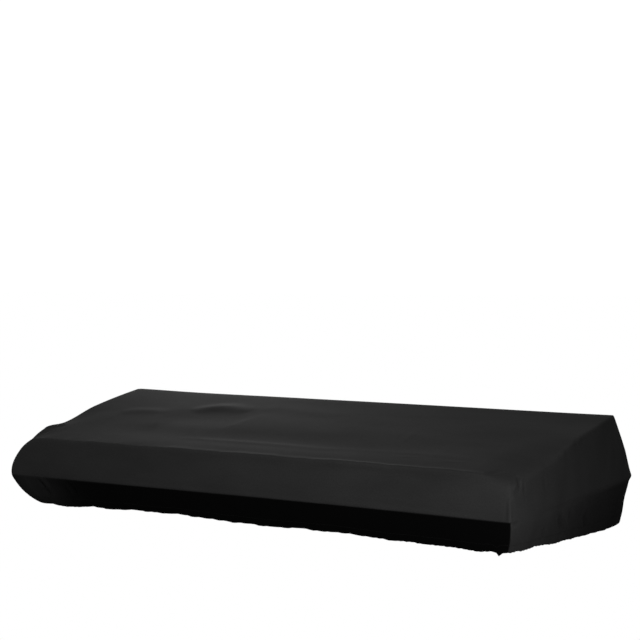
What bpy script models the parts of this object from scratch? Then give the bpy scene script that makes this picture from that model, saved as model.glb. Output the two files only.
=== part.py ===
"""Fitted stretch cover for a stage keyboard, in the shape it takes when it is drawn on.

One sheet of cloth lies over a wedge-shaped body, turns down over its four edges and is drawn in
under the lower edge by a gathered hem. It is hollow and open below. X runs along the length, Y from
the front to the back, Z up, and the origin is below the middle, level with the hem's lowest point.
"""

import bpy
import numpy as np

# Driving sizes, in metres
LENGTH = 1.110
CLOTH_THICKNESS = 0.0016
HEM_LEVEL = 0.0104
LIP_WIDTH = 0.018

# Points of the end profile as (y, z), y from the front fold and z from the hem
FRONT_HEM = (0.024, 0.000)
FRONT_FOLD = (0.000, 0.044)
FRONT_TOP = (0.015, 0.119)
BACK_TOP = (0.376, 0.192)
BACK_WIDE = (0.451, 0.077)
BACK_HEM = (0.436, 0.000)
BACK_STEP_Z = 0.030
BACK_STEP_CURVE = 1.8
FACE_OVERRUN = 1.25
MIDDLE_Y = BACK_WIDE[0] / 2

# The lower line of each end, where the cloth starts to draw in, as (y, z) from front to back
END_FOLD = ((0.000, 0.043), (0.122, 0.046), (0.175, 0.053), (0.325, 0.066), (0.451, 0.077))
RIGHT_TUCK = 0.015
LEFT_TUCK = 0.034
END_TUCK_CURVE = 1.2
END_CROWN = 0.003
LEFT_BELLY = 0.012
LEFT_BELLY_Z = 0.058
LEFT_BELLY_REACH = 0.032

# How far the top dips at each end, as (y, depth) from front to back
RIGHT_DIP = ((0.000, 0.013), (0.120, 0.013), (0.240, 0.000))
LEFT_DIP = ((0.000, 0.020), (0.025, 0.017), (0.095, 0.001), (0.145, 0.006), (0.240, 0.000))
END_DIP_REACH = 0.090

# Radius of the folds, and the places where the cloth bridges an edge more softly
FOLD_RADIUS = 0.0013
SOFT_PLACES = (
    # x, y, z, reach, extra radius
    (0.555, 0.010, 0.100, 0.040, 0.0030),
    (0.555, 0.120, 0.130, 0.070, 0.0022),
    (-0.555, 0.010, 0.105, 0.045, 0.0060),
    (-0.555, 0.000, 0.050, 0.050, 0.0030),
    (-0.530, 0.014, 0.000, 0.045, 0.0060),
    (-0.555, 0.120, 0.135, 0.090, 0.0030),
    (-0.530, 0.420, 0.010, 0.060, 0.0060),
    (0.550, 0.420, 0.010, 0.050, 0.0020),
    (-0.555, 0.451, 0.077, 0.060, 0.0040),
)

# Broad folds of the top, each a ridge or a hollow from one point to another
TOP_FOLDS = (
    # x0, y0, x1, y1, width, height
    (-0.330, 0.300, -0.190, 0.318, 0.026, 0.0060),
    (-0.290, 0.262, -0.170, 0.250, 0.034, -0.0040),
    (-0.500, 0.238, -0.365, 0.262, 0.022, 0.0030),
    (-0.430, 0.208, -0.290, 0.196, 0.026, -0.0025),
    (-0.180, 0.083, 0.500, 0.062, 0.022, 0.0012),
    (-0.400, 0.150, 0.300, 0.200, 0.070, -0.0020),
)

FOLD_END = 0.15

# Gathers that the drawn-in hem leaves round the lower edge, as waves of the way round
GATHERS = (
    # waves, phase, height
    (17, 0.4, 0.0012),
    (29, 2.1, 0.0010),
    (11, 4.0, 0.0008),
)
GATHER_FADE_Z = 0.035
HEM_WAVES = (
    # waves, phase, height
    (23, 1.0, 0.0010),
    (41, 0.0, 0.0006),
)
HEM_WAVE_FADE_Z = 0.012

# The small point that the hem makes beside the front right corner
TIP_X = 0.519
TIP_REACH = (0.010, 0.030, 0.014)
TIP_DROP = 0.0100

# Places where the hem hangs lower than the rest of it
HEM_SAGS = (
    # x, y, reach, drop
    (0.000, 0.200, 0.700, 0.0028),
    (0.500, 0.010, 0.110, 0.0045),
    (0.555, 0.230, 0.190, 0.0078),
    (-0.490, 0.020, 0.130, 0.0060),
    (-0.530, 0.250, 0.200, 0.0030),
)

# Grid of the cloth
CELLS_LONG = 52
CELLS_DEEP = 16
END_CROWDING = 0.60
LIP_STEPS = (0.0, 0.5)
LOWER_STEPS = (0.0, 0.25, 0.65)
UPPER_STEPS = (0.0, 0.12, 0.38, 0.66, 0.90)
CORE_INSET = 0.090
CORE_LOW_Z = 0.030
CORE_HIGH_Z = 0.080
SETTLE_STEPS = 12
PROBE = 0.00001
LEAST_SLOPE = 0.3


def smooth_line(place, table):
    """A value read from a short table of (place, value), which eases from each entry to the next."""
    places, values = np.transpose(table)
    after = np.clip(np.searchsorted(places, place), 1, len(places) - 1)
    t = np.clip((place - places[after - 1]) / (places[after] - places[after - 1]), 0.0, 1.0)
    return values[after - 1] + (values[after] - values[after - 1]) * t * t * (3.0 - 2.0 * t)


def out_from(y, z, start, end):
    """Distance outside the flat face that joins two profile points, met clockwise from the front."""
    dy = end[0] - start[0]
    dz = end[1] - start[1]
    return ((z - start[1]) * dy - (y - start[0]) * dz) / np.hypot(dy, dz)


def back_y(z):
    """How far back the cloth reaches below its widest line: straight up, then a lip that flares out."""
    rise = np.clip((z - BACK_STEP_Z) / (BACK_WIDE[1] - BACK_STEP_Z), 0.0, FACE_OVERRUN)
    return BACK_HEM[0] + (BACK_WIDE[0] - BACK_HEM[0]) * rise**BACK_STEP_CURVE


def end_x(y, z, tuck, belly):
    """Half length at a point of an end: a slight crown and belly, and drawn in below its lower line."""
    line_y, line_z = np.transpose(END_FOLD)
    line = np.interp(y, line_y, line_z)
    below = np.clip((line - z) / line, 0.0, FACE_OVERRUN)
    crown = END_CROWN * np.sin(np.pi * np.clip(y / BACK_WIDE[0], 0.0, 1.0))
    swell = belly * np.exp(-(((z - LEFT_BELLY_Z) / LEFT_BELLY_REACH) ** 2))
    return LENGTH / 2 + crown + swell - tuck * below**END_TUCK_CURVE


def top_dip(x, y):
    """How much lower the top lies near its ends, where the body's own cheeks are lower in front."""
    near_end = np.clip(1.0 - (LENGTH / 2 - np.abs(x)) / END_DIP_REACH, 0.0, 1.0) ** 2
    return np.where(x > 0, smooth_line(y, RIGHT_DIP), smooth_line(y, LEFT_DIP)) * near_end


def hem_sag(x, y):
    """How far the hem hangs below its own level at each place."""
    sag = np.zeros(len(x))
    for at, back, reach, drop in HEM_SAGS:
        sag += drop * np.exp(-((x - at) ** 2 + (y - back) ** 2) / reach**2)
    return sag


def fold_radius(points):
    """Radius of the cloth's bend at each point: small on a hard edge, larger at the soft places."""
    radius = np.full(len(points), FOLD_RADIUS)
    for x, y, z, reach, extra in SOFT_PLACES:
        away = np.sum((points - (x, y, z)) ** 2, axis=1)
        radius += extra * np.exp(-away / reach**2)
    return radius


def outside(points):
    """How far each point is outside the cloth: the soft maximum of its distances from the faces."""
    x, y, z = points.T
    faces = np.stack(
        [
            out_from(y, z, FRONT_HEM, FRONT_FOLD),
            out_from(y, z, FRONT_FOLD, FRONT_TOP),
            out_from(y, z, FRONT_TOP, BACK_TOP) + top_dip(x, y),
            out_from(y, z, BACK_TOP, BACK_WIDE),
            y - back_y(z),
            x - end_x(y, z, RIGHT_TUCK, 0.0),
            -x - end_x(y, z, LEFT_TUCK, LEFT_BELLY),
            -z - hem_sag(x, y),
        ]
    )
    radius = fold_radius(points)
    highest = faces.max(axis=0)
    return highest + radius * np.log(np.exp((faces - highest) / radius).sum(axis=0))


def core_of(points):
    """The nearest point of a block well inside the cover, from which the cloth is pushed outwards."""
    low = (-LENGTH / 2 + CORE_INSET, CORE_INSET, CORE_LOW_Z)
    high = (LENGTH / 2 - CORE_INSET, BACK_TOP[0] - CORE_INSET, CORE_HIGH_Z)
    return np.clip(points, low, high)


def settle(points):
    """Slides each point along its line from the core until it lies on the cloth's outer face."""
    along = points - core_of(points)
    along /= np.linalg.norm(along, axis=1)[:, None]
    for _ in range(SETTLE_STEPS):
        gap = outside(points)
        slope = (outside(points + along * PROBE) - gap) / PROBE
        points = points - along * (gap / np.maximum(slope, LEAST_SLOPE))[:, None]
    return points, along


def ridge(x, y, x0, y0, x1, y1, width, height):
    """A rounded fold from one point to another, which fades out beyond both."""
    run = np.array((x1 - x0, y1 - y0))
    along = ((x - x0) * run[0] + (y - y0) * run[1]) / (run @ run)
    near = np.clip(along, FOLD_END, 1.0 - FOLD_END)
    away = (x - x0 - near * run[0]) ** 2 + (y - y0 - near * run[1]) ** 2
    return height * np.exp(-away / width**2)


def add_folds(points, along, way_round):
    """Lifts the top's folds, waves the gathered lower edge and draws the hem's small point down."""
    x, y, z = points.T
    lift = np.zeros(len(points))
    for fold in TOP_FOLDS:
        lift += ridge(x, y, *fold)
    on_top = np.isnan(way_round)
    height = np.where(on_top, np.inf, np.clip(z, 0.0, None))
    turns = np.where(on_top, 0.0, way_round) * 2 * np.pi
    gather = waves_round(turns, GATHERS) * np.exp(-height / GATHER_FADE_Z)
    hang = waves_round(turns, HEM_WAVES) * np.exp(-height / HEM_WAVE_FADE_Z)
    across, deep, high = TIP_REACH
    tip = np.exp(-(((x - TIP_X) / across) ** 2) - (y / deep) ** 2 - (height / high) ** 2)
    moved = points + along * (1.0, 1.0, 0.0) * gather[:, None]
    moved[:, 2] += np.where(on_top, lift, 0.0) + hang - TIP_DROP * tip
    return moved


def waves_round(turns, table):
    """The sum of a table's waves round the lower edge."""
    return sum(height * np.sin(waves * turns + phase) for waves, phase, height in table)


def crowded(cells):
    """Steps from 0 to 1 that lie closer together towards both ends."""
    t = np.linspace(0.0, 1.0, cells + 1)
    return t - END_CROWDING * np.sin(2 * np.pi * t) / (2 * np.pi)


def corners_at(profile_front, profile_back, left_tuck, right_tuck):
    """The four corners of one level of the walls: front left, front right, back right, back left."""
    left = -LENGTH / 2 + left_tuck
    right = LENGTH / 2 - right_tuck
    return np.array(
        [
            (left, *profile_front),
            (right, *profile_front),
            (right, *profile_back),
            (left, *profile_back),
        ]
    )


def ring(corners):
    """Points all round one level, from the front left corner along the front and back to it."""
    sides = []
    for side in range(4):
        start = corners[side]
        end = corners[(side + 1) % 4]
        steps = crowded(CELLS_LONG if side % 2 == 0 else CELLS_DEEP)[:-1, None]
        sides.append(start + (end - start) * steps)
    return np.concatenate(sides)


def wall_rings():
    """The walls' levels from the inner edge of the hem's lip up to just below the top's edge."""
    inner_front = (FRONT_HEM[0] + LIP_WIDTH, 0.0)
    inner_back = (BACK_HEM[0] - LIP_WIDTH, 0.0)
    lip = corners_at(inner_front, inner_back, LEFT_TUCK + LIP_WIDTH, RIGHT_TUCK + LIP_WIDTH)
    hem = corners_at(FRONT_HEM, BACK_HEM, LEFT_TUCK, RIGHT_TUCK)
    fold = corners_at(FRONT_FOLD, BACK_WIDE, 0.0, 0.0)
    edge = corners_at(FRONT_TOP, BACK_TOP, 0.0, 0.0)
    bands = ((lip, hem, LIP_STEPS), (hem, fold, LOWER_STEPS), (fold, edge, UPPER_STEPS))
    return [ring(low + (high - low) * step) for low, high, steps in bands for step in steps]


def top_grid():
    """The top's points, row by row from the front."""
    edge = corners_at(FRONT_TOP, BACK_TOP, 0.0, 0.0)
    across = crowded(CELLS_LONG)[None, :, None]
    back = crowded(CELLS_DEEP)[:, None, None]
    front_row = edge[0] + (edge[1] - edge[0]) * across
    back_row = edge[3] + (edge[2] - edge[3]) * across
    return (front_row + (back_row - front_row) * back).reshape(-1, 3)


def top_rim():
    """Numbers of the top grid's points along its four edges, in the order of a ring."""
    across = CELLS_LONG + 1
    front = np.arange(CELLS_LONG)
    right = np.arange(CELLS_DEEP) * across + CELLS_LONG
    back = CELLS_DEEP * across + CELLS_LONG - np.arange(CELLS_LONG)
    left = (CELLS_DEEP - np.arange(CELLS_DEEP)) * across
    return np.concatenate([front, right, back, left])


def way_round_ring(corners):
    """How far round each point of a ring is, from 0 to 1."""
    points = ring(corners)
    gaps = np.linalg.norm(np.roll(points, -1, axis=0) - points, axis=1)
    return np.concatenate([[0.0], np.cumsum(gaps)[:-1]]) / gaps.sum()


def cloth_faces(levels, round_count):
    """Four-sided faces of the top and the walls, all seen from outside."""
    across = CELLS_LONG + 1
    row, column = np.mgrid[0:CELLS_DEEP, 0:CELLS_LONG]
    first = (row * across + column).ravel()
    top = np.stack([first, first + 1, first + 1 + across, first + across], axis=1)
    top_count = across * (CELLS_DEEP + 1)
    rings = top_count + np.arange(levels * round_count).reshape(levels, round_count)
    rings = np.vstack([rings, top_rim()])
    low = rings[:-1]
    high = rings[1:]
    quads = [low, np.roll(low, -1, axis=1), np.roll(high, -1, axis=1), high]
    walls = np.stack([corner.ravel() for corner in quads], axis=1)
    return np.vstack([top, walls]).tolist()


def cloth_material():
    """Black brushed stretch knit."""
    material = bpy.data.materials.new("black_stretch_knit")
    material.use_nodes = True
    shader = material.node_tree.nodes["Principled BSDF"]
    shader.inputs["Base Color"].default_value = (0.006, 0.006, 0.007, 1.0)
    shader.inputs["Roughness"].default_value = 0.9
    shader.inputs["Metallic"].default_value = 0.0
    return material


def make_cover():
    """The cover as one closed sheet: its outer face, and its thickness added on the inside."""
    levels = wall_rings()
    top = top_grid()
    hem = corners_at(FRONT_HEM, BACK_HEM, LEFT_TUCK, RIGHT_TUCK)
    way_round = np.concatenate([np.full(len(top), np.nan), np.tile(way_round_ring(hem), len(levels))])
    points, along = settle(np.vstack([top, *levels]))
    points = add_folds(points, along, way_round)
    points += (LEFT_BELLY / 2, -MIDDLE_Y, HEM_LEVEL)
    mesh = bpy.data.meshes.new("cover_cloth")
    mesh.from_pydata(points.tolist(), [], cloth_faces(len(levels), len(levels[0])))
    mesh.shade_smooth()
    mesh.materials.append(cloth_material())
    cover = bpy.data.objects.new("cover_cloth", mesh)
    bpy.context.scene.collection.objects.link(cover)
    sheet = cover.modifiers.new("cloth thickness", "SOLIDIFY")
    sheet.thickness = CLOTH_THICKNESS
    sheet.offset = -1.0
    sheet.use_even_offset = True
    return cover


def main():
    """Clears the scene and builds the cover in it."""
    for item in list(bpy.data.objects):
        bpy.data.objects.remove(item, do_unlink=True)
    make_cover()


main()
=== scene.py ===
"""Looks of a fitted piano cover in black brushed stretch knit.

The cloth is worked out on a grid as the smooth outer face of a wedge. Pulls, pleats and gathers are
then added along its outward direction. Places are given as they were read:
X along the length from the middle, Y from the front fold towards the back, Z up from the hem.
"""

import bpy
import numpy as np
from bpy.props import FloatProperty, FloatVectorProperty, PointerProperty
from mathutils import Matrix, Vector


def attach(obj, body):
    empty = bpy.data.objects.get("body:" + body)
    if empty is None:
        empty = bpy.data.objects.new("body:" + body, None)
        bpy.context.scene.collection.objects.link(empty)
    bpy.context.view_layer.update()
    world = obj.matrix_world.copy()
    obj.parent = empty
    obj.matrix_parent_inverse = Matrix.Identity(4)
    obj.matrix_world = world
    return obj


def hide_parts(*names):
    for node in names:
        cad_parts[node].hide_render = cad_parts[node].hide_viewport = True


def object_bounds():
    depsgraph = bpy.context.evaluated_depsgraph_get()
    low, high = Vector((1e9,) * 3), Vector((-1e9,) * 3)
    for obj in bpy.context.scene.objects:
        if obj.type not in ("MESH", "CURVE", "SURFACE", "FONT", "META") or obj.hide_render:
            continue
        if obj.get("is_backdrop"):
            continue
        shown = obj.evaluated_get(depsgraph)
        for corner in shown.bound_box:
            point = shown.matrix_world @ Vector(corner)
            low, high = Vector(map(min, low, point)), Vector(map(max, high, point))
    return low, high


bl_info = {
    "name": "Fitted Piano Cover",
    "version": (1, 0, 0),
    "blender": (4, 5, 0),
    "location": "3D View > Sidebar > Piano Cover",
    "description": "Makes a fitted stretch piano cover, with its hem stitches and a studio",
    "category": "Add Mesh",
}

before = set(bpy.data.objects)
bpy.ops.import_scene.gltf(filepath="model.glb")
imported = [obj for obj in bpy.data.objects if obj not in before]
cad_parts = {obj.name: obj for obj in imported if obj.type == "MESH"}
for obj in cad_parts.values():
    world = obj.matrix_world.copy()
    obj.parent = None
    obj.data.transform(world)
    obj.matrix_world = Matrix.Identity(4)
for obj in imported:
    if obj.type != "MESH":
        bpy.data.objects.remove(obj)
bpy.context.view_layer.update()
MM = 0.001

# Form of the stretched cover, in metres: points of the end profile are (y, z)
LENGTH = 1.110
FRONT_HEM = (0.024, 0.000)
FRONT_FOLD = (0.000, 0.0485)
FRONT_TOP = (0.015, 0.119)
BACK_TOP = (0.376, 0.192)
BACK_WIDE = (0.451, 0.077)
BACK_HEM = (0.436, 0.000)
BACK_STEP_Z = 0.030
BACK_STEP_CURVE = 1.8
FACE_OVERRUN = 1.25
LIP_WIDTH = 0.018

# Lower line of each end, where the cloth starts to draw in, as (y, z), and how far it draws in
END_FOLD = ((0.000, 0.043), (0.122, 0.046), (0.175, 0.053), (0.325, 0.066), (0.451, 0.077))
RIGHT_TUCK = 0.015
LEFT_TUCK = 0.034
END_TUCK_CURVE = 1.2
END_CROWN = 0.003
LEFT_BELLY = 0.012
LEFT_BELLY_Z = 0.058
LEFT_BELLY_REACH = 0.032

# How far the top dips at each end, as (y, depth)
RIGHT_DIP = ((0.000, 0.013), (0.120, 0.013), (0.240, 0.000))
LEFT_DIP = ((0.000, 0.020), (0.025, 0.017), (0.095, 0.001), (0.145, 0.006), (0.240, 0.000))
END_DIP_REACH = 0.090

# Bends of the cloth, and the places where it bridges an edge more softly
FOLD_RADIUS = 0.0013
SOFT_PLACES = (
    # x, y, z, reach, extra radius
    (0.548, 0.012, 0.106, 0.050, 0.0048),
    (0.555, 0.120, 0.130, 0.070, 0.0022),
    (-0.555, 0.010, 0.105, 0.050, 0.0070),
    (-0.555, 0.000, 0.050, 0.050, 0.0030),
    (-0.530, 0.014, 0.000, 0.045, 0.0060),
    (-0.555, 0.120, 0.135, 0.090, 0.0030),
    (-0.530, 0.420, 0.010, 0.060, 0.0060),
    (0.550, 0.420, 0.010, 0.050, 0.0020),
    (-0.555, 0.451, 0.077, 0.060, 0.0040),
)

# Places where the cloth swells out from the plain faces
SWELLS = (
    # x, y, z, reach, height
    (0.000, 0.300, 0.180, 0.400, 0.0009),
    (0.560, 0.440, 0.148, 0.055, 0.0026),
    (-0.565, 0.320, 0.170, 0.130, 0.0030),
    (-0.560, 0.010, 0.085, 0.055, 0.0030),
    (-0.535, 0.010, 0.008, 0.040, 0.0095),
    (0.550, 0.430, 0.000, 0.035, 0.0030),
    (0.555, 0.045, 0.028, 0.038, 0.0038),
)

# How far the hem hangs below its own level: a drop of less than nothing lifts it
HEM_SAGS = (
    # x, y, reach, drop
    (0.000, 0.200, 0.700, 0.0050),
    (0.440, 0.010, 0.080, 0.0036),
    (0.553, 0.110, 0.060, 0.0014),
    (0.555, 0.250, 0.180, 0.0078),
    (0.550, 0.410, 0.110, 0.0060),
    (-0.490, 0.020, 0.130, 0.0060),
    (-0.530, 0.250, 0.200, 0.0030),
    (-0.430, 0.020, 0.045, 0.0030),
    (-0.140, 0.020, 0.045, -0.0034),
    (0.030, 0.020, 0.060, 0.0018),
    (0.195, 0.020, 0.030, -0.0034),
    (0.310, 0.020, 0.050, 0.0034),
    (0.490, 0.020, 0.028, 0.0028),
    (0.550, 0.110, 0.035, 0.0022),
    (0.550, 0.310, 0.070, 0.0018),
    (0.550, 0.445, 0.026, -0.0045),
)

# Small tip that hangs from the hem: its place along X, its reach along, back and up, and its drop
TIP_X = 0.521
TIP_REACH = (0.0042, 0.030, 0.010)
TIP_DROP = 0.0170

# Uneven run of the two front creases, as waves along the length
CREASE_WAVES = (
    # wave length, phase, height
    (0.187, 0.3, 0.0005),
    (0.071, 2.0, 0.0003),
    (0.033, 1.1, 0.0002),
)
CREASE_REACH = 0.016

# Long rise of the front's lower crease, and how far it rises as the face below it moves in
CREASE_RISES = (
    # wave length, phase, height
    (1.500, 0.733, 0.00083),
)
CREASE_LIFT = 1.5

# Small scallops where the top's edge is pulled over the right end
END_SCALLOPS = (
    # wave length, phase, height
    (0.031, 0.6, 0.0006),
    (0.019, 2.2, 0.0004),
)
SCALLOP_REACH = 0.012
SCALLOPS_FROM = (0.100, 0.200)

# Waves that the drawn-in hem leaves round the lower edge
GATHERS = (
    # waves in the whole way round, phase, height
    (17, 0.4, 0.0006),
    (29, 2.1, 0.0006),
    (11, 4.0, 0.0005),
    (53, 0.9, 0.0003),
    (87, 3.1, 0.0002),
)
GATHER_FADE_Z = 0.015

# Waves of the hem itself, up and down
HEM_WAVES = (
    # waves in the whole way round, phase, height
    (23, 1.0, 0.0005),
    (41, 0.0, 0.0003),
    (97, 2.0, 0.0002),
    (151, 0.7, 0.0002),
    (263, 1.2, 0.0004),
)
HEM_WAVE_FADE_Z = 0.010

# Pulls and pleats: each is a ridge, or a hollow of less height than nothing, along a bow
PULLS = (
    # start, middle, end, half width, height
    # Hump and hollows of the top, at its left
    ((-0.300, 0.246, 0.165), (-0.250, 0.280, 0.172), (-0.176, 0.262, 0.169), 0.023, 0.0029),
    ((-0.330, 0.176, 0.150), (-0.245, 0.204, 0.156), (-0.140, 0.196, 0.154), 0.058, -0.0029),
    ((-0.460, 0.214, 0.158), (-0.405, 0.230, 0.161), (-0.350, 0.224, 0.160), 0.018, 0.0010),
    ((-0.450, 0.164, 0.148), (-0.385, 0.178, 0.151), (-0.320, 0.172, 0.150), 0.044, -0.0010),
    ((-0.150, 0.300, 0.178), (-0.060, 0.290, 0.176), (0.040, 0.270, 0.171), 0.024, 0.0006),
    # Long low ridges near the front of the top
    ((-0.195, 0.084, 0.132), (-0.010, 0.086, 0.133), (0.170, 0.080, 0.132), 0.0110, 0.0007),
    ((0.110, 0.079, 0.132), (0.290, 0.092, 0.134), (0.440, 0.084, 0.133), 0.0095, 0.0003),
    ((-0.500, 0.104, 0.137), (-0.070, 0.112, 0.138), (0.360, 0.116, 0.139), 0.050, -0.0026),
    ((-0.190, 0.134, 0.143), (-0.168, 0.106, 0.137), (-0.144, 0.080, 0.132), 0.0060, 0.0005),
    ((0.300, 0.070, 0.130), (0.320, 0.072, 0.130), (0.345, 0.074, 0.130), 0.0050, 0.0004),
    ((0.395, 0.062, 0.128), (0.415, 0.064, 0.128), (0.440, 0.066, 0.128), 0.0050, 0.0004),
    ((0.250, 0.210, 0.158), (0.256, 0.180, 0.152), (0.262, 0.150, 0.146), 0.0060, 0.0005),
    # Welt where the top turns down over the front
    ((-0.200, 0.0170, 0.1195), (0.110, 0.0170, 0.1195), (0.360, 0.0170, 0.1195), 0.0100, 0.0011),
    ((0.160, 0.0170, 0.1195), (0.370, 0.0170, 0.1195), (0.510, 0.0180, 0.1190), 0.0095, 0.0022),
    # Faint line above the lower crease of the front
    ((-0.250, 0.002, 0.0550), (-0.050, 0.002, 0.0555), (0.200, 0.002, 0.0560), 0.0045, -0.0006),
    ((0.200, 0.002, 0.0570), (0.380, 0.002, 0.0575), (0.540, 0.002, 0.0530), 0.0045, -0.0009),
    # Short pulls about the near right corner of the top
    ((0.547, 0.006, 0.096), (0.555, 0.018, 0.094), (0.557, 0.034, 0.093), 0.0048, -0.0036),
    ((0.541, 0.051, 0.119), (0.549, 0.040, 0.110), (0.555, 0.033, 0.100), 0.0034, -0.0034),
    ((0.545, 0.030, 0.112), (0.552, 0.024, 0.104), (0.556, 0.014, 0.097), 0.0040, 0.0014),
    ((0.522, 0.014, 0.113), (0.532, 0.018, 0.113), (0.542, 0.020, 0.111), 0.0040, -0.0010),
    ((0.500, 0.022, 0.118), (0.508, 0.038, 0.121), (0.514, 0.054, 0.123), 0.0060, -0.0012),
    ((0.508, 0.018, 0.118), (0.516, 0.020, 0.117), (0.524, 0.022, 0.116), 0.0034, 0.0012),
    ((0.556, 0.048, 0.106), (0.557, 0.046, 0.094), (0.556, 0.052, 0.082), 0.0032, -0.0020),
    ((0.557, 0.108, 0.114), (0.558, 0.113, 0.104), (0.557, 0.116, 0.095), 0.0045, -0.0018),
    # Upright dart at each corner
    ((0.551, 0.008, 0.086), (0.553, 0.005, 0.064), (0.553, 0.004, 0.045), 0.0036, 0.0032),
    ((0.553, 0.010, 0.038), (0.549, 0.016, 0.020), (0.545, 0.022, 0.004), 0.0040, 0.0010),
    ((-0.556, 0.004, 0.088), (-0.560, 0.002, 0.064), (-0.560, 0.002, 0.044), 0.0040, 0.0012),
    ((0.556, 0.420, 0.130), (0.556, 0.450, 0.082), (0.553, 0.440, 0.040), 0.0036, 0.0013),
    ((-0.556, 0.420, 0.130), (-0.560, 0.450, 0.082), (-0.556, 0.440, 0.040), 0.0036, 0.0013),
    # Notch where the front right dart meets the lower crease
    ((0.552, 0.006, 0.045), (0.555, 0.015, 0.0445), (0.556, 0.027, 0.0435), 0.0034, -0.0050),
    # Lower line of the right end, drawn in just below it
    ((0.556, 0.080, 0.047), (0.558, 0.190, 0.052), (0.558, 0.300, 0.057), 0.0070, -0.0016),
    ((0.558, 0.240, 0.054), (0.557, 0.340, 0.061), (0.553, 0.445, 0.066), 0.0070, -0.0020),
    # Pleats that the hem draws into the right end
    ((0.554, 0.166, 0.038), (0.550, 0.184, 0.022), (0.545, 0.202, 0.004), 0.0048, -0.0062),
    ((0.555, 0.184, 0.042), (0.551, 0.202, 0.024), (0.546, 0.220, 0.004), 0.0060, 0.0030),
    ((0.551, 0.120, 0.024), (0.547, 0.128, 0.012), (0.543, 0.138, -0.002), 0.0040, -0.0044),
    ((0.555, 0.206, 0.040), (0.553, 0.213, 0.030), (0.550, 0.220, 0.018), 0.0044, -0.0046),
    ((0.551, 0.270, 0.028), (0.548, 0.279, 0.014), (0.543, 0.290, 0.000), 0.0048, -0.0044),
    ((0.552, 0.244, 0.032), (0.549, 0.252, 0.018), (0.545, 0.262, 0.002), 0.0060, -0.0016),
    ((0.552, 0.326, 0.040), (0.549, 0.334, 0.024), (0.543, 0.342, 0.002), 0.0065, -0.0018),
    ((0.553, 0.384, 0.044), (0.550, 0.390, 0.026), (0.543, 0.394, 0.004), 0.0065, -0.0016),
    ((0.554, 0.060, 0.030), (0.550, 0.066, 0.016), (0.545, 0.072, -0.002), 0.0050, -0.0014),
    ((0.553, 0.090, 0.024), (0.549, 0.098, 0.012), (0.545, 0.106, -0.002), 0.0045, -0.0016),
    # Curved folds of the drawn-in cloth at the far left
    ((-0.480, 0.003, 0.042), (-0.467, 0.008, 0.031), (-0.470, 0.016, 0.016), 0.0046, 0.0036),
    ((-0.490, 0.005, 0.040), (-0.478, 0.009, 0.029), (-0.482, 0.017, 0.014), 0.0042, -0.0030),
    ((-0.425, 0.003, 0.042), (-0.410, 0.012, 0.024), (-0.414, 0.022, 0.002), 0.0050, 0.0036),
    ((-0.410, 0.004, 0.040), (-0.398, 0.012, 0.022), (-0.401, 0.022, 0.002), 0.0050, -0.0036),
    ((-0.525, 0.004, 0.040), (-0.514, 0.010, 0.024), (-0.510, 0.018, 0.008), 0.0060, 0.0018),
    # Soft lumps at the left end's upper corner
    ((-0.545, 0.010, 0.112), (-0.535, 0.022, 0.117), (-0.515, 0.030, 0.121), 0.0080, 0.0018),
    ((-0.550, 0.085, 0.128), (-0.535, 0.100, 0.134), (-0.515, 0.112, 0.138), 0.0090, 0.0026),
    ((-0.548, 0.040, 0.114), (-0.540, 0.056, 0.120), (-0.520, 0.068, 0.126), 0.0090, -0.0014),
)
PULL_STEPS = 8

# Trough on both sides of each ridge: its share of the height, and its spread in half widths
TROUGH_SHARE = 0.35
TROUGH_SPREAD = 2.2

# Grid of the cloth, with its cells crowded towards the folds
CELLS_LONG = 208
CELLS_DEEP = 115
LONG_CROWDING = 0.62
WALL_CROWDING = 0.72
LIP_ROWS = 4
LOWER_ROWS = 15
UPPER_ROWS = 20
DEEP_STEPS = (
    # share of the cells, share of the depth
    (0.00, 0.00),
    (0.24, 0.13),
    (0.34, 0.22),
    (0.71, 0.51),
    (0.87, 0.67),
    (1.00, 1.00),
)

# Block inside the cover from which the cloth is pushed out, and the search for the outer face
CORE_INSET = 0.090
CORE_LOW_Z = 0.030
CORE_HIGH_Z = 0.080
SETTLE_STEPS = 12
PROBE = 0.00001
LEAST_SLOPE = 0.3

# Painted shade on the cloth below the lower crease: its rise below the crease, and the facing of the
# cloth that gets it
PAINTED_SHADE_RISE = 0.0025
PAINTED_SHADE_FACING = (0.35, 0.75)

# Where the painted shade is weaker: by the folds at the far left, on the back, and on the right end
FAR_FOLDS = (-0.500, 0.010, 0.018)
FAR_FOLDS_REACH = 0.075
FAR_FOLDS_SHADE_CUT = 0.60
BACK_PAINTED_SHADE = 0.70
END_PAINTED_SHADE = 0.55
END_PAINTED_SHADE_RISE = 0.010
END_PAINTED_SHADE_FROM = (0.100, 0.400)

# Thickness of the cloth, which is cut as the top with a drop on all four sides
CLOTH_THICKNESS = 0.0015

# Dyes and nap of the cloth and its thread
DEEP_DYE = "#202020"
PALE_DYE = "#262626"
# Near-black dye that paints shade on the cloth below the creases, and the dark strands of the thread
PAINTED_SHADE_AND_STRAND_DYE = "#020202"
THREAD_DYE = "#141414"
NAP_SHEEN = "#8f8f8f"

# Finish of the cloth: strengths without a unit, and patterns by the size at which they are drawn
CLOTH_ROUGHNESS = 0.92
CLOTH_SPECULAR = 0.03
SHEEN = 0.012
SHEEN_ROUGHNESS = 0.5
CLOUD_WIDTH = 60 * MM
CLOUD_STRETCH = (0.35, 1.0, 1.0)
CLOUD_DETAIL = 3.0
TUFT_WIDTH = 2.5 * MM
TUFT_DETAIL = 2.0
SHADE_FROM = 0.12
SHADE_TO = 0.38
WALE_PITCH = 1.2 * MM
RIB_STRENGTH = 0.10
RIB_HEIGHT = 0.10 * MM
NAP_STRENGTH = 0.25
NAP_HEIGHT = 0.5 * MM

# Radians through which a wave texture of scale 1 turns in a metre
WAVE_TURN = 20

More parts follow.
